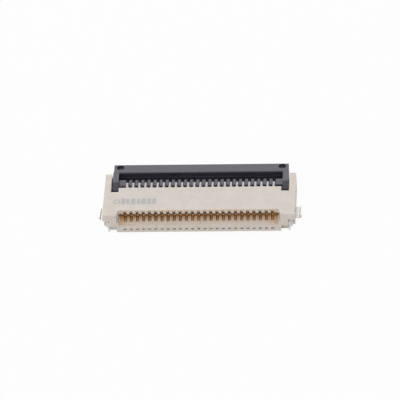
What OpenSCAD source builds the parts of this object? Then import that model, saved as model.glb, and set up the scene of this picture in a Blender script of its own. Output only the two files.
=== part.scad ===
// Flat cable connector for surface mounting, with contacts above and below the cable.
// A lever at the rear turns a cam between the contacts' rear arms, and locks the cable.
// X runs along the contact row, Y from the cable's mouth to the rear, Z up from the board.
// Depths are counted from the mouth, and place() sets the part on the middle of its own box.

/* [Contact row] */
// Number of contacts
contact_count = 25; // [5:1:45]
// Distance from one contact to the next
pitch = 0.5; // [0.46:0.02:1]
// Thickness of the sheet that a contact is stamped from
blade_t = 0.18; // [0.1:0.01:0.2]
// Clearance on each side of a contact in its slot
blade_gap = 0.03; // [0.01:0.01:0.05]
// Height of a contact's upper spring beam and rear arm
beam_h = 0.18; // [0.12:0.01:0.22]
// Depth of the solder foot, along the board
foot_l = 0.62; // [0.4:0.02:0.8]
// Thickness of the solder foot
foot_t = 0.18; // [0.12:0.01:0.22]
// Depth of the upright web that joins a contact's two beams
web_l = 0.34; // [0.26:0.02:0.4]
// Thickness of the hook behind the cam
hook_l = 0.13; // [0.1:0.01:0.16]
// Distance from the top plate's front edge to the upper contact point
bump_setback = 0.32; // [0.3:0.01:0.6]
// Clearance between a contact's front ends and the ends of its slots
nose_gap = 0.08; // [0.05:0.01:0.12]

/* [Cable] */
// Thickness of the cable with its stiffener
cable_t = 0.3; // [0.2:0.01:0.34]
// Distance from the last contact to the cable's edge
cable_margin = 0.5; // [0.4:0.02:0.9]
// Clearance between the cable's edge and the side of the mouth
cable_gap = 0.04; // [0.02:0.01:0.08]
// Open gap between the cable and each contact point before locking
tip_gap = 0.05; // [0.03:0.01:0.1]
// Depth of the mouth, from the front to the stop wall
mouth_l = 2.7; // [2.4:0.05:3.2]

/* [Housing] */
// Height of the housing's top over the board
body_h = 2; // [1.9:0.02:2.4]
// Gap between the housing's underside and the board
standoff = 0.1; // [0.06:0.01:0.14]
// Thickness of the top plate
plate_t = 0.42; // [0.38:0.01:0.5]
// Thickness of the skin over the upper contact slots
skin_t = 0.15; // [0.1:0.01:0.18]
// Height of the mouth
mouth_h = 0.46; // [0.42:0.01:0.5]
// How far the top plate's front edge lies behind the cheeks
plate_setback = 0.65; // [0.4:0.05:0.9]
// Thickness of the wall behind the stop, in which the contacts are held
stop_t = 0.83; // [0.7:0.01:1.1]
// How far the mouth widens on each side at its front
mouth_flare = 0.15; // [0.05:0.01:0.2]
// Fall of the lower lip towards its front edge
lip_fall = 0.35; // [0.2:0.01:0.4]
// Depth of the sloping stretch of the lower lip
lip_l = 0.9; // [0.7:0.05:1.3]
// Bevel under the front edge of the lower lip
lip_bevel = 0.12; // [0.04:0.01:0.16]
// Distance from the lip's front edge to the ends of the lower contact slots
groove_setback = 0.47; // [0.4:0.01:0.55]
// Height of the windows in the lip's front face
window_h = 0.16; // [0.13:0.01:0.2]
// Thickness of the floor under the contacts
floor_t = 0.3; // [0.25:0.01:0.4]
// Thickness of the ears beside the lever
ear_t = 0.52; // [0.48:0.01:0.7]
// How far the ears reach behind the lever's axis
ear_reach = 1.29; // [0.9:0.01:1.4]
// Edge length of the bevels on the ears and the top plate
edge_bevel = 0.06; // [0.02:0.01:0.08]
// Wall between the mouth's side and the pocket for the lever's arm
pocket_wall = 0.1; // [0.06:0.01:0.2]

/* [Lever] */
// Distance from the top plate's rear edge to the lever's axis
axis_setback = 0.42; // [0.4:0.01:0.5]
// Height of the cam that spreads the contacts' rear arms
cam_h = 0.52; // [0.44:0.02:0.56]
// Thickness of the cam, across its height
cam_t = 0.34; // [0.26:0.02:0.4]
// Clearance around the cam through its whole turn
cam_gap = 0.08; // [0.05:0.01:0.1]
// Width of each arm at the lever's ends
arm_w = 0.48; // [0.4:0.02:0.6]
// Clearance on each side of an arm
arm_gap = 0.08; // [0.05:0.01:0.12]
// Radius of the round end of each arm
boss_r = 0.34; // [0.28:0.01:0.36]
// How far an arm's full height begins behind the axis
arm_nose = 0.24; // [0.1:0.02:0.3]
// Clearance between a swinging arm and the front of its pocket
swing_gap = 0.28; // [0.1:0.01:0.3]
// Radius of the journals that the lever turns on
journal_r = 0.2; // [0.15:0.01:0.24]
// Length of each journal
journal_l = 0.15; // [0.08:0.01:0.16]
// Running clearance around and beyond a journal
journal_gap = 0.03; // [0.02:0.01:0.05]
// Distance from the axis to the bar's front face
lever_l = 1.43; // [1.3:0.01:1.6]
// Depth of the bar that a fingernail lifts
bar_l = 1.04; // [0.8:0.02:1.3]
// Thickness of the thin web between the comb and the bar
lever_web_t = 0.3; // [0.24:0.01:0.36]
// How far the lever's underside lies below its axis
lever_drop = 0.35; // [0.3:0.01:0.38]
// Depth of the ledge on the bar's front face
ledge_l = 0.1; // [0.05:0.01:0.14]
// How far the ledge lies below the tops of the comb's ribs
ledge_drop = 0.12; // [0.05:0.01:0.2]
// Clearance between the ribs of the comb and the top plate when the lever stands open
rib_gap = 0.06; // [0.04:0.01:0.1]
// Clearance on each side of a contact in the comb
comb_gap = 0.04; // [0.03:0.01:0.06]
// Clearance between the contacts' hooks and the rear of the comb's windows
window_gap = 0.2; // [0.1:0.01:0.25]
// Diameter of the round dimples in the bar
dimple_d = 0.6; // [0.4:0.02:0.7]
// Depth of the dimples
dimple_h = 0.2; // [0.1:0.02:0.3]

/* [Hold-downs] */
// Thickness of the hold-down's sheet
plate_sheet_t = 0.12; // [0.1:0.01:0.14]
// Clearance on each side of a hold-down in its slot
sheet_gap = 0.02; // [0.01:0.005:0.03]
// Depth of the solder foot beside the ear
wing_l = 1.28; // [0.9:0.02:1.5]
// How far the solder foot stands out from the ear
wing_w = 0.5; // [0.3:0.02:0.7]
// Height of the foot's turned-up edge
wing_lip_h = 0.32; // [0.2:0.01:0.5]
// Distance from the front of the cheeks to the solder foot
wing_y = 1.8; // [1.5:0.05:2]
// Height of the hold-down's upright plate
plate_rise = 1.1; // [0.9:0.02:1.2]
// Distance from the front of the cheeks to the upright plate
sheet_setback = 0.95; // [0.9:0.01:1.1]
// Distance from the front of the cheeks to the front prong
prong_setback = 0.3; // [0.2:0.02:0.5]
// Height of the front prong
prong_h = 0.98; // [0.8:0.02:1.1]
// Height of the sheet turned across behind the prong
cross_h = 0.69; // [0.6:0.01:0.8]
// Clearance over the prong in the open corner of the cheek
corner_gap = 0.38; // [0.1:0.02:0.4]
// Height of the opening beside the lip
toe_h = 0.77; // [0.6:0.01:0.85]
// Inner radius of the bends in the sheet
bend_r = 0.06; // [0.04:0.01:0.08]

/* [Hidden] */
$fn = 32;
over = 1; // how far a cut runs past the face it opens
eps = 0.01;

// Across the row
row_l = (contact_count - 1) * pitch;
blade_slot_w = blade_t + 2 * blade_gap;
window_w = blade_t + 2 * comb_gap;
mouth_w = row_l + 2 * (cable_margin + cable_gap);
pocket_x = mouth_w / 2 + pocket_wall;
arm_x = pocket_x + arm_gap;
ear_x = arm_x + arm_w + arm_gap;
body_w = 2 * (ear_x + ear_t);
bar_w = 2 * (arm_x + arm_w) - arm_gap;

// Heights over the board
plate_under_z = body_h - plate_t;
mouth_floor_z = plate_under_z - mouth_h;
cable_z = mouth_floor_z + mouth_h / 2;
floor_z = standoff + floor_t;
beam_top_z = body_h - skin_t - blade_gap;
beam_under_z = beam_top_z - beam_h;
axis_z = beam_under_z - cam_gap - cam_h / 2;
rib_top_z = axis_z + axis_setback - rib_gap;
lever_under_z = axis_z - lever_drop;
web_top_z = lever_under_z + lever_web_t;
ledge_z = rib_top_z - ledge_drop;

// Depths behind the front of the cheeks
plate_rear_y = mouth_l + stop_t;
axis_y = plate_rear_y + axis_setback;
floor_rear_y = axis_y + cam_h / 2 + cam_gap + beam_h / 2;
hook_y = axis_y + cam_h / 2 + cam_gap - eps;
hook_rear_y = hook_y + hook_l;
window_rear_y = axis_y + window_gap + norm([hook_rear_y - axis_y, beam_top_z - axis_z]);
bar_y = axis_y + lever_l;
bar_rear_y = bar_y + bar_l;
arm_top_y = axis_y + arm_nose;
pocket_y = axis_y - swing_gap - max(boss_r, norm([arm_nose, body_h - axis_z]));
foot_rear_y = bar_y + bar_l / 2;
foot_y = foot_rear_y - foot_l;

// Contact points, which stand one behind the other along the cable
bump_r = beam_h / 2;
upper_bump_y = plate_setback + bump_setback;
lower_bump_y = upper_bump_y + beam_h;
upper_tip_y = plate_setback + nose_gap;
lower_tip_y = groove_setback + nose_gap;
lower_tip_z = lip_z(lower_tip_y) - 2 * blade_gap;
upper_bump_z = cable_z + cable_t / 2 + tip_gap + bump_r;
lower_bump_z = cable_z - cable_t / 2 - tip_gap - bump_r;
lip_tip_gap = groove_setback / 2;

// Hold-down places
sheet_x = body_w / 2 - ear_t / 2 - plate_sheet_t / 2;
sheet_rear_y = axis_y - journal_r - journal_gap - plate_sheet_t;

function contact_name(i) = str("contact_", i < 10 ? "0" : "", i);
function lip_z(y) = mouth_floor_z - lip_fall * (1 - min(1, y / lip_l));
function contact_x(i) = (i - 1) * pitch - row_l / 2;

// Sets the part on the middle of its own box
module place() {
    translate([0, -bar_rear_y / 2, 0]) children();
}

// Extrudes a side view, drawn as depth and height, along the row
module along_row(width) {
    rotate([90, 0, 90]) linear_extrude(width, center = true) children();
}

// A box between two corners
module block(low, high) {
    translate(low) cube(high - low);
}

// The same shape on both sides
module both_sides() {
    children();
    mirror([1, 0, 0]) children();
}

// Side view of the housing between its ears
module body_side() {
    polygon([
        [0, standoff + lip_bevel],
        [lip_bevel, standoff],
        [floor_rear_y, standoff],
        [floor_rear_y, floor_z],
        [plate_rear_y, floor_z],
        [plate_rear_y, body_h - edge_bevel],
        [plate_rear_y - edge_bevel, body_h],
        [edge_bevel, body_h],
        [0, body_h - edge_bevel]
    ]);
}

// Side view of an ear and the cheek in front of it
module ear_side() {
    ear_rear_y = axis_y + ear_reach;
    polygon([
        [0, standoff],
        [ear_rear_y, standoff],
        [ear_rear_y, body_h - edge_bevel],
        [ear_rear_y - edge_bevel, body_h],
        [edge_bevel, body_h],
        [0, body_h - edge_bevel]
    ]);
}

// The mouth: the cable's slot, the flared front and the sloping lower lip
module mouth() {
    block([-mouth_w / 2, plate_setback - eps, mouth_floor_z], [mouth_w / 2, mouth_l, plate_under_z]);
    translate([0, 0, mouth_floor_z])
        linear_extrude(body_h)
            polygon([
                [-mouth_w / 2, plate_setback],
                [mouth_w / 2, plate_setback],
                [mouth_w / 2 + mouth_flare, 0],
                [mouth_w / 2 + mouth_flare, -over],
                [-mouth_w / 2 - mouth_flare, -over],
                [-mouth_w / 2 - mouth_flare, 0]
            ]);
    along_row(mouth_w)
        polygon([
            [lip_l, mouth_floor_z],
            [lip_l, mouth_floor_z + eps],
            [-over, mouth_floor_z + eps],
            [-over, mouth_floor_z - lip_fall],
            [0, mouth_floor_z - lip_fall]
        ]);
}

// Slot that one contact is pushed into from the rear
module blade_slot() {
    along_row(blade_slot_w) {
        translate([plate_setback - over, plate_under_z - eps])
            square([plate_rear_y - plate_setback + 2 * over, plate_t - skin_t + eps]);
        translate([mouth_l - blade_gap, floor_z])
            square([stop_t + 2 * over, body_h - skin_t - floor_z]);
        translate([groove_setback, floor_z])
            square([mouth_l - groove_setback, mouth_floor_z - floor_z + eps]);
        translate([-over, floor_z])
            square([groove_setback + 2 * over, window_h]);
    }
}

// Pocket for an arm of the lever, with the blind bore for its journal
module arm_pocket() {
    block(
        [pocket_x, pocket_y, axis_z - max(boss_r, lever_drop) - arm_gap],
        [ear_x, axis_y + ear_reach + over, body_h + over]
    );
    translate([ear_x - eps, axis_y, axis_z])
        rotate([0, 90, 0])
            cylinder(h = journal_l - arm_gap + journal_gap + eps, r = journal_r + journal_gap);
}

// Room for a hold-down: the slot in the ear, the gap under its foot and the open front corner
module hold_down_room() {
    block(
        [sheet_x - sheet_gap, sheet_setback - sheet_gap, 0],
        [sheet_x + plate_sheet_t + sheet_gap, sheet_rear_y + sheet_gap, plate_rise + sheet_gap]
    );
    block(
        [sheet_x, wing_y - sheet_gap, 0],
        [body_w / 2 + over, wing_y + wing_l + sheet_gap, plate_sheet_t + bend_r]
    );
    block([ear_x, -over, 0], [body_w / 2 + over, sheet_setback, prong_h + corner_gap]);
    block([mouth_w / 2 + mouth_flare, -over, 0], [ear_x + eps, sheet_setback - ear_t, toe_h]);
}

module housing() {
    color("ivory") place() difference() {
        union() {
            along_row(2 * ear_x) body_side();
            both_sides()
                translate([ear_x + ear_t / 2, 0, 0]) along_row(ear_t) ear_side();
        }
        mouth();
        for (i = [1:contact_count]) translate([contact_x(i), 0, 0]) blade_slot();
        both_sides() {
            arm_pocket();
            hold_down_room();
        }
    }
}

// Side view of the bar with its ledge, and the thin web in front of it
module bar_side() {
    polygon([
        [window_rear_y, lever_under_z],
        [bar_rear_y - lever_drop / 2, lever_under_z],
        [bar_rear_y, lever_under_z + lever_drop / 2],
        [bar_rear_y, body_h - edge_bevel],
        [bar_rear_y - edge_bevel, body_h],
        [bar_y + edge_bevel, body_h],
        [bar_y, body_h - edge_bevel],
        [bar_y, ledge_z],
        [bar_y - ledge_l, ledge_z],
        [bar_y - ledge_l, web_top_z],
        [window_rear_y, web_top_z]
    ]);
}

// Side view of a rib of the comb, with a round nose about the axis and a step up behind it
module rib_side() {
    nose_r = (cam_h + cam_t) / 4;
    translate([axis_y, axis_z]) circle(r = nose_r);
    polygon([
        [axis_y, axis_z - nose_r],
        [axis_y + nose_r, lever_under_z],
        [window_rear_y + eps, lever_under_z],
        [window_rear_y + eps, rib_top_z],
        [axis_y + nose_r, rib_top_z],
        [axis_y + nose_r - edge_bevel, rib_top_z - edge_bevel],
        [axis_y + nose_r - edge_bevel, axis_z],
        [axis_y, axis_z]
    ]);
}

// Side view of the cam, upright while the cable is locked
module cam_side() {
    for (side = [-1, 1])
        translate([axis_y, axis_z + side * (cam_h - cam_t) / 2]) circle(d = cam_t);
    translate([axis_y - cam_t / 2, axis_z - (cam_h - cam_t) / 2]) square([cam_t, cam_h - cam_t]);
}

// Side view of an arm at the lever's end
module arm_side() {
    translate([axis_y, axis_z]) circle(r = boss_r);
    polygon([
        [axis_y, axis_z - boss_r],
        [axis_y + arm_nose, lever_under_z],
        [bar_y + edge_bevel, lever_under_z],
        [bar_y + edge_bevel, body_h],
        [arm_top_y, body_h],
        [axis_y - boss_r * cos(45), axis_z + boss_r * sin(45)]
    ]);
}

module actuator() {
    comb_w = 2 * arm_x + arm_w;
    rib_w = pitch - window_w;
    end_w = (comb_w - row_l - window_w) / 2;
    color([0.2, 0.2, 0.22]) place() difference() {
        union() {
            along_row(bar_w) bar_side();
            along_row(row_l + pitch) cam_side();
            for (i = [1:contact_count - 1])
                translate([contact_x(i) + pitch / 2, 0, 0]) along_row(rib_w) rib_side();
            both_sides() {
                translate([comb_w / 2 - end_w / 2, 0, 0]) along_row(end_w) rib_side();
                translate([arm_x + arm_w / 2, 0, 0]) along_row(arm_w) arm_side();
                translate([arm_x + arm_w - eps, axis_y, axis_z])
                    rotate([0, 90, 0]) cylinder(h = journal_l + eps, r = journal_r);
            }
        }
        both_sides()
            translate([arm_x - arm_gap, bar_rear_y - dimple_d * 2 / 3, body_h - dimple_h])
                cylinder(h = dimple_h + over, d = dimple_d);
    }
}

// Outline of a contact: the two beams before the web, the two arms behind it and the solder foot
module contact_outline() {
    web_y = mouth_l + (stop_t - web_l) / 2;
    root_y = web_y - beam_h;
    arm_t = beam_h * 2 / 3;
    spring_z = mouth_floor_z - blade_gap - beam_h;
    cradle_z = axis_z - cam_t / 2;
    hook_z = beam_under_z - beam_h;
    polygon([
        // Fixed lower arm, which lies on the floor and shows its tip in the lower lip
        [lip_tip_gap, floor_z],
        [lip_tip_gap, floor_z + arm_t],
        [root_y, floor_z + arm_t],
        // Lower spring beam
        [root_y, spring_z],
        [lower_bump_y, spring_z],
        [lower_tip_y, lower_tip_z - bump_r],
        [lower_tip_y, lower_tip_z],
        [lower_bump_y - bump_r, lower_bump_z],
        [lower_bump_y + bump_r, lower_bump_z],
        [root_y, spring_z + beam_h],
        // Front of the web
        [web_y - bump_r, mouth_floor_z],
        [web_y, cable_z],
        [web_y, beam_under_z - bump_r],
        [web_y - bump_r, beam_under_z],
        // Upper beam
        [upper_bump_y + 2 * bump_r, beam_under_z],
        [upper_bump_y + bump_r, upper_bump_z],
        [upper_bump_y - bump_r, upper_bump_z],
        [upper_tip_y, upper_bump_z],
        [upper_tip_y, beam_top_z],
        // Rear upper arm with its hook
        [hook_rear_y - bump_r, beam_top_z],
        [hook_rear_y, beam_top_z - bump_r],
        [hook_rear_y, hook_z],
        [hook_y, hook_z],
        [hook_y, beam_under_z],
        [web_y + web_l, beam_under_z],
        // Rear lower arm, which cradles the cam
        [web_y + web_l, cradle_z],
        [hook_rear_y, cradle_z],
        [hook_rear_y + bump_r, cradle_z - bump_r],
        // Solder foot
        [foot_y, foot_t + bump_r],
        [foot_y + bump_r, foot_t],
        [foot_rear_y, foot_t],
        [foot_rear_y, 0],
        [foot_y - bump_r, 0],
        [floor_rear_y + blade_gap, floor_z]
    ]);
}

module contact(i) {
    color([0.85, 0.72, 0.5]) place() translate([contact_x(i), 0, 0]) difference() {
        union() {
            along_row(blade_t) contact_outline();
            along_row(blade_t) translate([upper_bump_y, upper_bump_z]) circle(r = bump_r);
            along_row(blade_t) translate([lower_bump_y, lower_bump_z]) circle(r = bump_r);
        }
        along_row(blade_t + over) translate([axis_y, axis_z]) circle(r = cam_h / 2 + cam_gap);
    }
}

// Section of a quarter bend in the hold-down's sheet, about the bend's centre
module bend() {
    outer_r = plate_sheet_t + bend_r;
    intersection() {
        difference() {
            circle(r = outer_r);
            circle(r = bend_r);
        }
        translate([-outer_r, -outer_r]) square(outer_r + eps);
    }
}

// Right-hand hold-down: an upright plate in the ear, two front prongs and the foot with its lip
module hold_down() {
    wing_x = body_w / 2 + wing_w;
    prong_x = ear_x + sheet_gap;
    outer_r = plate_sheet_t + bend_r;
    block(
        [sheet_x, sheet_setback, standoff],
        [sheet_x + plate_sheet_t, sheet_rear_y, plate_rise]
    );
    // Front prongs, the inner one turned in front of the ear
    block(
        [prong_x, prong_setback, 0],
        [prong_x + plate_sheet_t, sheet_setback - sheet_gap, prong_h]
    );
    block(
        [prong_x, sheet_setback - plate_sheet_t - sheet_gap, 0],
        [sheet_x + plate_sheet_t, sheet_setback - sheet_gap, cross_h]
    );
    block(
        [sheet_x, sheet_setback - plate_sheet_t, 0],
        [sheet_x + plate_sheet_t, sheet_setback + eps, cross_h]
    );
    // Foot, bent outwards and turned up at its edge
    translate([0, wing_y + wing_l, 0])
        rotate([90, 0, 0])
            linear_extrude(wing_l) {
                translate([sheet_x + outer_r, outer_r]) bend();
                translate([sheet_x + outer_r, 0]) square([wing_x - sheet_x - 2 * outer_r, plate_sheet_t]);
                translate([wing_x - outer_r, outer_r]) mirror([1, 0]) bend();
                translate([wing_x - plate_sheet_t, outer_r]) square([plate_sheet_t, wing_lip_h - outer_r]);
            }
}

module hold_down_right() {
    color("silver") place() hold_down();
}

module hold_down_left() {
    color("silver") place() mirror([1, 0, 0]) hold_down();
}

housing();
actuator();
hold_down_left();
hold_down_right();
for (i = [1:contact_count])
    contact(i);
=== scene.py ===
"""Dresses the flat cable connector: finishes, edges and print, in a plain studio."""
import logging
import math
from dataclasses import dataclass
from enum import Enum

import bpy
from mathutils import Matrix, Vector


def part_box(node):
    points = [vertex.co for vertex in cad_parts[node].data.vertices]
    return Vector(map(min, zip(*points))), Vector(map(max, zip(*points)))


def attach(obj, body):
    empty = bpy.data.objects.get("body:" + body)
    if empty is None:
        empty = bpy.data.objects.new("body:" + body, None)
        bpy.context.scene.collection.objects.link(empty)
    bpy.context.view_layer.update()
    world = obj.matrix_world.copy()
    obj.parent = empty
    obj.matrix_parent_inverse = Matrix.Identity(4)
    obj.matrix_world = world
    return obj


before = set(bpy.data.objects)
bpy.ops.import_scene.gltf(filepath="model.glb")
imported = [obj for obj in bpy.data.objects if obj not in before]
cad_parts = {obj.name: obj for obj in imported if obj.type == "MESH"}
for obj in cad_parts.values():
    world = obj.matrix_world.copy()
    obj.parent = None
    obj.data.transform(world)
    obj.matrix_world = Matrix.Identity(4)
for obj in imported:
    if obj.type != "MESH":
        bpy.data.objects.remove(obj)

LOG = logging.getLogger("connector")
MM = 0.001
WHITE = (1.0, 1.0, 1.0, 1.0)
# The two colour inputs and the colour output of a mix node, which share their names with others
MIX_A, MIX_B, MIX_COLOUR = 6, 7, 2
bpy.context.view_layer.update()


# Colour and node helpers


def linear(code: str) -> tuple[float, float, float, float]:
    """Turns an sRGB hex colour into linear values.

    Args:
        code: six hex digits, with or without a leading #.

    Returns:
        Linear red, green, blue and an alpha of one.
    """
    digits = code.lstrip("#")
    channels = [int(digits[i : i + 2], 16) / 255 for i in (0, 2, 4)]
    values = [c / 12.92 if c <= 0.04045 else ((c + 0.055) / 1.055) ** 2.4 for c in channels]
    return (values[0], values[1], values[2], 1.0)


def add_node(
    tree: bpy.types.NodeTree,
    kind: str,
    settings: dict[str, object] | None = None,
    links: dict[str | int, bpy.types.NodeSocket] | None = None,
) -> bpy.types.Node:
    """Adds one node with its settings and links.

    Args:
        tree: the node tree that gets the node.
        kind: the node's type name, such as ShaderNodeTexNoise.
        settings: input sockets by name, or the node's own properties.
        links: sockets of other nodes by the name or number of the input that they feed.

    Returns:
        The new node.
    """
    node = tree.nodes.new(kind)
    for key, value in (settings or {}).items():
        if key in node.inputs:
            node.inputs[key].default_value = value
        else:
            setattr(node, key, value)
    for key, socket in (links or {}).items():
        tree.links.new(socket, node.inputs[key])
    return node


def new_material(name: str) -> tuple[bpy.types.Material, bpy.types.NodeTree]:
    """Makes a material with an empty node tree.

    Args:
        name: the material's name.

    Returns:
        The material and its tree.
    """
    material = bpy.data.materials.new(name)
    material.use_nodes = True
    material.node_tree.nodes.clear()
    return material, material.node_tree


def object_point(
    tree: bpy.types.NodeTree, size_mm: float, stretch: float = 1.0
) -> bpy.types.NodeSocket:
    """Gives the surface point, scaled so that a pattern of scale 1 repeats at a real size.

    Args:
        tree: the tree to add to.
        size_mm: the pattern's real size in millimetres.
        stretch: how many times longer the pattern is along the row.

    Returns:
        The scaled vector's socket.
    """
    point = add_node(tree, "ShaderNodeTexCoord")
    size = size_mm * MM
    scale = (1 / (size * stretch), 1 / size, 1 / size)
    mapping = add_node(
        tree, "ShaderNodeMapping", {"Scale": scale}, {"Vector": point.outputs["Object"]}
    )
    return mapping.outputs["Vector"]


# Finishes


@dataclass(frozen=True)
class PaintedSlotShade:
    """Painted warm shade on the walls of a slot, for the shade there and the light bounced off the
    gold contacts in it.

    It reaches half_mm to each side, back to rear_mm and down to foot_mm. The painted shade is full
    where a point's openness to the sky is below deep_at, and gone where it is above open_at.
    """

    colour: str
    half_mm: float
    rear_mm: float
    foot_mm: float
    reach_mm: float = 1.5
    fade_mm: float = 0.12
    deep_at: float = 0.33
    open_at: float = 0.93

    def tint(self, tree: bpy.types.NodeTree, base: bpy.types.NodeSocket) -> bpy.types.NodeSocket:
        """Paints warm shade on the walls that see little of the sky.

        Args:
            tree: the tree to add to.
            base: the plastic's own colour.

        Returns:
            The socket of the colour with the painted shade.
        """
        point = add_node(tree, "ShaderNodeTexCoord")
        axes = add_node(tree, "ShaderNodeSeparateXYZ", links={"Vector": point.outputs["Object"]})
        side = add_node(tree, "ShaderNodeMath", {"operation": "ABSOLUTE"}, {0: axes.outputs["X"]})
        share = add_node(
            tree, "ShaderNodeAmbientOcclusion", {"Distance": self.reach_mm * MM, "samples": 8}
        ).outputs["AO"]
        share = add_node(
            tree,
            "ShaderNodeMapRange",
            {"From Min": self.deep_at, "From Max": self.open_at, "To Min": 1.0, "To Max": 0.0},
            {"Value": share},
        ).outputs["Result"]
        for place, limit, fade in (
            (side.outputs[0], self.half_mm, self.fade_mm),
            (axes.outputs["Y"], self.rear_mm, self.fade_mm),
            (axes.outputs["Z"], self.foot_mm, -self.fade_mm),
        ):
            inside = add_node(
                tree,
                "ShaderNodeMapRange",
                {"From Min": (limit + fade) * MM, "From Max": limit * MM},
                {"Value": place},
            )
            share = add_node(
                tree,
                "ShaderNodeMath",
                {"operation": "MULTIPLY"},
                {0: share, 1: inside.outputs["Result"]},
            ).outputs[0]
        # Painted shade: blend towards the darker warm colour where the walls see little of the sky
        mix = add_node(tree, "ShaderNodeMix", {"data_type": "RGBA"}, {"Factor": share})
        tree.links.new(base, mix.inputs[MIX_A])
        mix.inputs[MIX_B].default_value = linear(self.colour)
        return mix.outputs[MIX_COLOUR]


@dataclass(frozen=True)
class MouldedPlastic:
    """Glass-filled resin as it leaves a polished steel mould.

    Flow marks repeat about every flow_mm, and are flow_stretch times longer along the row. The
    glass fibres are 0.01 mm thick and too fine to show, so their grain is drawn at grain_mm.
    """

    name: str
    colour: str
    flow_colour: str
    roughness: float
    specular: float
    subsurface: float
    # Painted shade for the recesses of a slot, if the finish has one
    painted_shade: PaintedSlotShade | None = None
    sheen: tuple[float, float, float, float] = WHITE
    flow_mm: float = 0.9
    flow_stretch: float = 1.0
    flow_low: float = 0.35
    flow_high: float = 0.75
    grain_mm: float = 0.05
    grain_depth_mm: float = 0.004
    smoother: float = 0.06
    rougher: float = 0.07
    scatter_mm: float = 0.25
    scatter_rgb: tuple[float, float, float] = (1.0, 0.84, 0.66)

    def build(self) -> bpy.types.Material:
        """Builds the material.

        Returns:
            A material with soft flow marks, and a fine grain from the glass fibres.
        """
        material, tree = new_material(self.name)
        flow = add_node(
            tree,
            "ShaderNodeTexNoise",
            {"Scale": 1.0, "Detail": 3.0, "Roughness": 0.55, "Distortion": 0.6},
            {"Vector": object_point(tree, self.flow_mm, self.flow_stretch)},
        )
        grain = add_node(
            tree,
            "ShaderNodeTexNoise",
            {"Scale": 1.0, "Detail": 2.0, "Roughness": 0.6},
            {"Vector": object_point(tree, self.grain_mm)},
        )
        tint = add_node(tree, "ShaderNodeValToRGB", links={"Fac": flow.outputs["Fac"]})
        tint.color_ramp.elements[0].position = self.flow_low
        tint.color_ramp.elements[0].color = linear(self.colour)
        tint.color_ramp.elements[1].position = self.flow_high
        tint.color_ramp.elements[1].color = linear(self.flow_colour)
        colour = tint.outputs["Color"]
        # Painted warm shade in the slot's recesses, for shade and the light bounced off the gold
        # contacts
        if self.painted_shade:
            colour = self.painted_shade.tint(tree, colour)
        marks = add_node(
            tree,
            "ShaderNodeMath",
            {"operation": "ADD"},
            {0: flow.outputs["Fac"], 1: grain.outputs["Fac"]},
        )
        polish = add_node(
            tree,
            "ShaderNodeMapRange",
            {
                "From Min": 0.7,
                "From Max": 1.3,
                "To Min": self.roughness - self.smoother,
                "To Max": self.roughness + self.rougher,
            },
            {"Value": marks.outputs[0]},
        )
        bump = add_node(
            tree,
            "ShaderNodeBump",
            {"Strength": 0.25, "Distance": self.grain_depth_mm * MM},
            {"Height": grain.outputs["Fac"]},
        )
        shader = add_node(
            tree,
            "ShaderNodeBsdfPrincipled",
            {
                "IOR": 1.5,
                "Specular IOR Level": self.specular,
                "Specular Tint": self.sheen,
                "Subsurface Weight": self.subsurface,
                "Subsurface Radius": self.scatter_rgb,
                "Subsurface Scale": self.scatter_mm * MM,
            },
            {
                "Base Color": colour,
                "Roughness": polish.outputs["Result"],
                "Normal": bump.outputs["Normal"],
            },
        )
        add_node(tree, "ShaderNodeOutputMaterial", links={"Surface": shader.outputs["BSDF"]})
        return material


@dataclass(frozen=True)
class PlatedSheet:
    """Stamped sheet with one plating at the front and another at the rear.

    The roller's marks are about 0.005 mm apart and too fine to show, so they are drawn at burr_mm.
    """

    name: str
    front_colour: str
    rear_colour: str
    roughness: float
    change_y: float
    metallic: float = 1.0
    change_mm: float = 0.2
    burr_mm: float = 0.04
    burr_depth_mm: float = 0.002
    smoother: float = 0.08
    rougher: float = 0.1

    def build(self) -> bpy.types.Material:
        """Builds the material.

        Returns:
            A metal whose plating changes along the piece, with the fine marks of rolled sheet.
        """
        material, tree = new_material(self.name)
        point = add_node(tree, "ShaderNodeTexCoord")
        axes = add_node(tree, "ShaderNodeSeparateXYZ", links={"Vector": point.outputs["Object"]})
        half = self.change_mm * MM / 2
        change = add_node(
            tree,
            "ShaderNodeMapRange",
            {"From Min": self.change_y - half, "From Max": self.change_y + half},
            {"Value": axes.outputs["Y"]},
        )
        marks = add_node(
            tree,
            "ShaderNodeTexNoise",
            {"Scale": 1.0, "Detail": 3.0, "Roughness": 0.6},
            {"Vector": object_point(tree, self.burr_mm)},
        )
        plating = add_node(
            tree, "ShaderNodeMix", {"data_type": "RGBA"}, {"Factor": change.outputs["Result"]}
        )
        plating.inputs[MIX_A].default_value = linear(self.front_colour)
        plating.inputs[MIX_B].default_value = linear(self.rear_colour)
        worn = add_node(
            tree,
            "ShaderNodeMapRange",
            {"To Min": self.roughness - self.smoother, "To Max": self.roughness + self.rougher},
            {"Value": marks.outputs["Fac"]},
        )
        bump = add_node(
            tree,
            "ShaderNodeBump",
            {"Strength": 0.3, "Distance": self.burr_depth_mm * MM},
            {"Height": marks.outputs["Fac"]},
        )
        shader = add_node(
            tree,
            "ShaderNodeBsdfPrincipled",
            {"Metallic": self.metallic},
            {
                "Base Color": plating.outputs[MIX_COLOUR],
                "Roughness": worn.outputs["Result"],
                "Normal": bump.outputs["Normal"],
            },
        )
        add_node(tree, "ShaderNodeOutputMaterial", links={"Surface": shader.outputs["BSDF"]})
        return material


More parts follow.
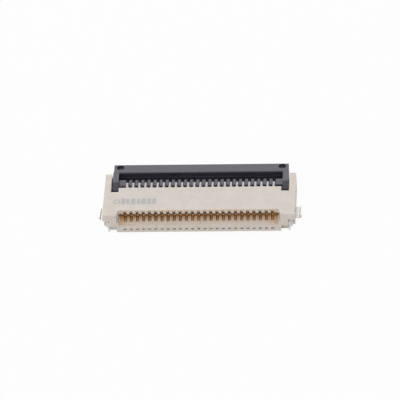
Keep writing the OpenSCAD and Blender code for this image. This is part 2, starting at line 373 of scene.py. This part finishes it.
@dataclass(frozen=True)
class PadInk:
    """Thin ink from a marking pad, with pinholes of speck_mm where it did not take."""

    name: str
    colour: str
    bare_colour: str
    speck_mm: float = 0.04
    solid_below: float = 0.56
    bare_above: float = 0.72

    def build(self) -> bpy.types.Material:
        """Builds the material.

        Returns:
            A matt ink through which the plastic shows in specks.
        """
        material, tree = new_material(self.name)
        specks = add_node(
            tree,
            "ShaderNodeTexNoise",
            {"Scale": 1.0, "Detail": 4.0, "Roughness": 0.7},
            {"Vector": object_point(tree, self.speck_mm)},
        )
        tint = add_node(tree, "ShaderNodeValToRGB", links={"Fac": specks.outputs["Fac"]})
        tint.color_ramp.elements[0].position = self.solid_below
        tint.color_ramp.elements[0].color = linear(self.colour)
        tint.color_ramp.elements[1].position = self.bare_above
        tint.color_ramp.elements[1].color = linear(self.bare_colour)
        shader = add_node(
            tree,
            "ShaderNodeBsdfPrincipled",
            {"Roughness": 0.55, "IOR": 1.48},
            {"Base Color": tint.outputs["Color"]},
        )
        add_node(tree, "ShaderNodeOutputMaterial", links={"Surface": shader.outputs["BSDF"]})
        return material


class Finish(Enum):
    """The finishes of the connector's pieces."""

    # Natural liquid-crystal polymer: warm ivory, dense, with a low sheen, and with painted warm
    # shade deep in the mouth's slot
    IVORY_LCP = MouldedPlastic(
        "ivory_lcp", "#DFD7CF", "#DAD0C6", 0.48, 0.4, 0.4, PaintedSlotShade("#C58C38", 6.36, -2.2, 0.8)
    )
    # Black glass-filled polyamide: near black, and grey where it mirrors a bright sky
    BLACK_POLYAMIDE = MouldedPlastic(
        "black_polyamide",
        "#2B2A34",
        "#403F4A",
        0.36,
        0.66,
        0.0,
        sheen=(0.98, 0.95, 1.0, 1.0),
        flow_mm=0.16,
        flow_stretch=14.0,
    )
    # Phosphor bronze with gold flash at the contact points and nickel towards the feet: warm and
    # soft in the mouth, cool and grey behind it
    CONTACT_PLATING = PlatedSheet("contact_plating", "#CCA57A", "#ABA6A7", 0.5, -0.4 * MM, 0.7)
    # Brass sheet with matt tin all over: pale, with a blurred shine
    MATT_TIN = PlatedSheet("matt_tin", "#D2D1CE", "#CDCCC8", 0.42, 0.0)
    # Grey marking ink on the top plate: flat and faint, as the ivory shows through it
    GREY_INK = PadInk("grey_ink", "#BABCBC", "#CAC6C1")


# Pieces


def deselect_all() -> None:
    """Clears the selection, so that an operator acts on new pieces alone."""
    for piece in bpy.context.selected_objects:
        piece.select_set(False)


@dataclass
class SoftEdges:
    """Small rounds on a CAD node's edges, as a mould or a punch leaves them."""

    width_mm: float
    segments: int = 2
    angle_deg: float = 32.0
    weld_mm: float = 0.0005
    flat_deg: float = 0.6

    def apply_to(self, piece: bpy.types.Object) -> None:
        """Adds live modifiers that join the loose triangles and round their edges.

        Args:
            piece: the CAD node's object.
        """
        weld = piece.modifiers.new("weld", "WELD")
        weld.merge_threshold = self.weld_mm * MM
        flat = piece.modifiers.new("flat", "DECIMATE")
        flat.decimate_type = "DISSOLVE"
        flat.angle_limit = math.radians(self.flat_deg)
        bevel = piece.modifiers.new("round", "BEVEL")
        bevel.width = self.width_mm * MM
        bevel.segments = self.segments
        bevel.limit_method = "ANGLE"
        bevel.angle_limit = math.radians(self.angle_deg)
        bevel.harden_normals = False


@dataclass
class Piece:
    """A moulded or stamped CAD node that keeps its shape and gets its finish."""

    node: str
    finish: Finish
    edges: SoftEdges | None = None

    def dress(self, materials: dict[Finish, bpy.types.Material]) -> bpy.types.Object:
        """Gives the node its material and its soft edges.

        Args:
            materials: the built finishes.

        Returns:
            The node's object.
        """
        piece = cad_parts[self.node]
        piece.data.materials.clear()
        piece.data.materials.append(materials[self.finish])
        if self.edges:
            self.edges.apply_to(piece)
        return piece


@dataclass
class TopMark:
    """A generic mark in ink on the top plate: a ring and a row of dashes."""

    body: str = "housing"
    left_mm: float = -6.97
    centre_y_mm: float = -1.47
    ring_mm: float = 0.54
    ring_width_mm: float = 0.1
    height_mm: float = 0.7
    dash_mm: tuple[float, ...] = (0.3, 0.22, 0.38, 0.22, 0.38, 0.3, 0.3)
    gap_mm: float = 0.12
    corner_mm: float = 0.08
    film_mm: float = 0.004
    ring_sides: int = 40
    corner_steps: int = 4

    def top_z(self) -> float:
        """Height of the top plate, which the ink lies on."""
        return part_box("housing")[1].z

    def ring(self) -> bpy.types.Object:
        """Models the ring as a flat annulus.

        Returns:
            The ring's object.
        """
        radius = self.ring_mm * MM / 2
        deselect_all()
        centre = (self.left_mm * MM + radius, self.centre_y_mm * MM, self.top_z())
        bpy.ops.mesh.primitive_circle_add(
            vertices=self.ring_sides, radius=radius, fill_type="NGON", location=centre
        )
        ring = bpy.context.object
        bpy.ops.object.mode_set(mode="EDIT")
        bpy.ops.mesh.inset(thickness=self.ring_width_mm * MM)
        bpy.ops.mesh.delete(type="FACE")
        bpy.ops.object.mode_set(mode="OBJECT")
        return ring

    def dash(self, left: float, length: float) -> bpy.types.Object:
        """Models one dash as a small plate with round corners.

        Args:
            left: the dash's left end in metres.
            length: the dash's length in metres.

        Returns:
            The dash's object.
        """
        deselect_all()
        centre = (left + length / 2, self.centre_y_mm * MM, self.top_z())
        bpy.ops.mesh.primitive_plane_add(size=1.0, location=centre)
        dash = bpy.context.object
        dash.scale = (length, self.height_mm * MM, 1.0)
        bpy.ops.object.transform_apply(location=False, rotation=False, scale=True)
        bpy.ops.object.mode_set(mode="EDIT")
        bpy.ops.mesh.bevel(
            offset=self.corner_mm * MM, segments=self.corner_steps, affect="VERTICES"
        )
        bpy.ops.object.mode_set(mode="OBJECT")
        return dash

    def build(self, materials: dict[Finish, bpy.types.Material]) -> bpy.types.Object:
        """Builds the whole mark as one piece on the housing.

        Args:
            materials: the built finishes.

        Returns:
            The mark's object.
        """
        parts = [self.ring()]
        left = (self.left_mm + self.ring_mm + self.gap_mm) * MM
        for length in self.dash_mm:
            parts.append(self.dash(left, length * MM))
            left += (length + self.gap_mm) * MM
        deselect_all()
        for part in parts:
            part.select_set(True)
        bpy.context.view_layer.objects.active = parts[0]
        bpy.ops.object.join()
        mark = bpy.context.object
        mark.name = "top_mark"
        bpy.ops.object.transform_apply(location=True, rotation=True, scale=True)
        film = mark.modifiers.new("film", "SOLIDIFY")
        film.thickness = self.film_mm * MM
        film.offset = 1.0
        bpy.ops.object.modifier_apply(modifier=film.name)
        mark.data.materials.clear()
        mark.data.materials.append(materials[Finish.GREY_INK])
        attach(mark, self.body)
        return mark


# Studio


def direction(azimuth_deg: float, elevation_deg: float) -> Vector:
    """Gives the direction from the part to a lamp or the camera.

    Args:
        azimuth_deg: angle round the part, from the mouth's side towards +X.
        elevation_deg: angle over the board.

    Returns:
        A vector of length one.
    """
    azimuth = math.radians(azimuth_deg)
    elevation = math.radians(elevation_deg)
    return Vector(
        (
            math.sin(azimuth) * math.cos(elevation),
            -math.cos(azimuth) * math.cos(elevation),
            math.sin(elevation),
        )
    )


@dataclass
class Softbox:
    """A square lamp that looks at the part."""

    name: str
    azimuth_deg: float
    elevation_deg: float
    distance_mm: float
    size_mm: float
    radiance: float

    def build(self, target: Vector) -> bpy.types.Object:
        """Places the lamp round the part.

        Args:
            target: the point that it looks at.

        Returns:
            The lamp.
        """
        away = direction(self.azimuth_deg, self.elevation_deg)
        data = bpy.data.lights.new(self.name, "AREA")
        data.shape = "SQUARE"
        data.size = self.size_mm * MM
        data.energy = self.radiance * math.pi * data.size**2
        lamp = bpy.data.objects.new(self.name, data)
        lamp.location = target + away * self.distance_mm * MM
        lamp.rotation_mode = "QUATERNION"
        lamp.rotation_quaternion = away.to_track_quat("Z", "Y")
        bpy.context.scene.collection.objects.link(lamp)
        return lamp


@dataclass
class Studio:
    """A white floor and sky, soft lamps and a long lens.

    floor_white is how much of the floor's white the camera sees by itself, and the rest takes the
    part's shadow.
    """

    azimuth_deg: float = 5.34
    elevation_deg: float = 40.0
    roll_deg: float = -4.0
    distance_mm: float = 400.0
    lens_mm: float = 441.5
    aim_mm: tuple[float, float, float] = (0.0, -0.71, 1.0)
    rise_mm: float = 0.334
    near_mm: float = 1.0
    far_m: float = 10.0
    sky: float = 0.62
    floor_white: float = 0.93
    floor_m: float = 6.0
    lamps: tuple[Softbox, ...] = (
        Softbox("top_lamp", 0.0, 82.0, 260.0, 200.0, 0.7),
        Softbox("rear_lamp", 185.0, 38.0, 260.0, 150.0, 1.4),
        Softbox("front_lamp", -30.0, 35.0, 300.0, 140.0, 1.6),
    )

    def camera(self) -> bpy.types.Object:
        """Sets the camera that looks down on the mouth, turned a little on its own axis.

        Returns:
            The camera.
        """
        roll = math.radians(self.roll_deg)
        back = direction(self.azimuth_deg, self.elevation_deg)
        level = Vector((0, 0, 1)).cross(back).normalized()
        upright = back.cross(level)
        right = level * math.cos(roll) + upright * math.sin(roll)
        up = upright * math.cos(roll) - level * math.sin(roll)
        data = bpy.data.cameras.new("camera")
        data.lens = self.lens_mm
        data.clip_start = self.near_mm * MM
        data.clip_end = self.far_m
        camera = bpy.data.objects.new("camera", data)
        place = Vector(self.aim_mm) * MM + back * self.distance_mm * MM + up * self.rise_mm * MM
        turn = Matrix((right, up, back)).transposed().to_4x4()
        camera.matrix_world = Matrix.Translation(place) @ turn
        bpy.context.scene.collection.objects.link(camera)
        bpy.context.scene.camera = camera
        return camera

    def background(self, tree: bpy.types.NodeTree) -> bpy.types.NodeSocket:
        """Adds the test for rays that see the background as white.

        Args:
            tree: the tree to add to.

        Returns:
            One where the ray comes from the camera, a mirror or glass, and zero elsewhere.
        """
        path = add_node(tree, "ShaderNodeLightPath")
        seen = path.outputs["Is Camera Ray"]
        for kind in ("Is Glossy Ray", "Is Transmission Ray"):
            seen = add_node(
                tree, "ShaderNodeMath", {"operation": "MAXIMUM"}, {0: seen, 1: path.outputs[kind]}
            ).outputs[0]
        return seen

    def sky_dome(self) -> None:
        """Makes the world: an even pale sky that the camera sees as white."""
        world = bpy.data.worlds.new("sky")
        bpy.context.scene.world = world
        world.use_nodes = True
        tree = world.node_tree
        tree.nodes.clear()
        seen = self.background(tree)
        strength = add_node(
            tree, "ShaderNodeMapRange", {"To Min": self.sky, "To Max": 1.0}, {"Value": seen}
        )
        light = add_node(
            tree,
            "ShaderNodeBackground",
            {"Color": WHITE},
            {"Strength": strength.outputs["Result"]},
        )
        add_node(tree, "ShaderNodeOutputWorld", links={"Surface": light.outputs["Background"]})

    def floor(self) -> bpy.types.Object:
        """Lays a matt white floor that runs out of sight.

        Returns:
            The floor.
        """
        deselect_all()
        bpy.ops.mesh.primitive_plane_add(size=self.floor_m, location=(0, 0, 0))
        floor = bpy.context.object
        floor.name = "floor"
        material, tree = new_material("white_floor")
        seen = self.background(tree)
        matt = add_node(tree, "ShaderNodeBsdfDiffuse", {"Color": linear("#F4F4F4")})
        glow = add_node(tree, "ShaderNodeEmission", {"Color": WHITE, "Strength": 1.0})
        share = add_node(tree, "ShaderNodeMath", {"operation": "MULTIPLY"}, {0: seen})
        share.inputs[1].default_value = self.floor_white
        mix = add_node(
            tree,
            "ShaderNodeMixShader",
            links={0: share.outputs[0], 1: matt.outputs[0], 2: glow.outputs[0]},
        )
        add_node(tree, "ShaderNodeOutputMaterial", links={"Surface": mix.outputs[0]})
        floor.data.materials.append(material)
        return floor

    def build(self) -> None:
        """Sets up the whole studio."""
        self.camera()
        self.sky_dome()
        self.floor()
        for lamp in self.lamps:
            lamp.build(Vector(self.aim_mm) * MM)
        bpy.context.scene.view_settings.view_transform = "Standard"


def main() -> None:
    """Builds the finishes, the pieces and the studio in order."""
    logging.basicConfig(level=logging.INFO, format="%(name)s: %(message)s")
    materials = {finish: finish.value.build() for finish in Finish}
    mould_edges = SoftEdges(0.02)
    sheet_edges = SoftEdges(0.012)
    pieces = [
        Piece("housing", Finish.IVORY_LCP, mould_edges),
        Piece("actuator", Finish.BLACK_POLYAMIDE, mould_edges),
    ]
    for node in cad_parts:
        if node.startswith("hold_down"):
            pieces.append(Piece(node, Finish.MATT_TIN, sheet_edges))
        if node.startswith("contact"):
            pieces.append(Piece(node, Finish.CONTACT_PLATING, sheet_edges))
    for piece in pieces:
        LOG.info("dressed %s", piece.dress(materials).name)
    LOG.info("printed %s", TopMark().build(materials).name)
    Studio().build()


if __name__ == "__main__":
    main()
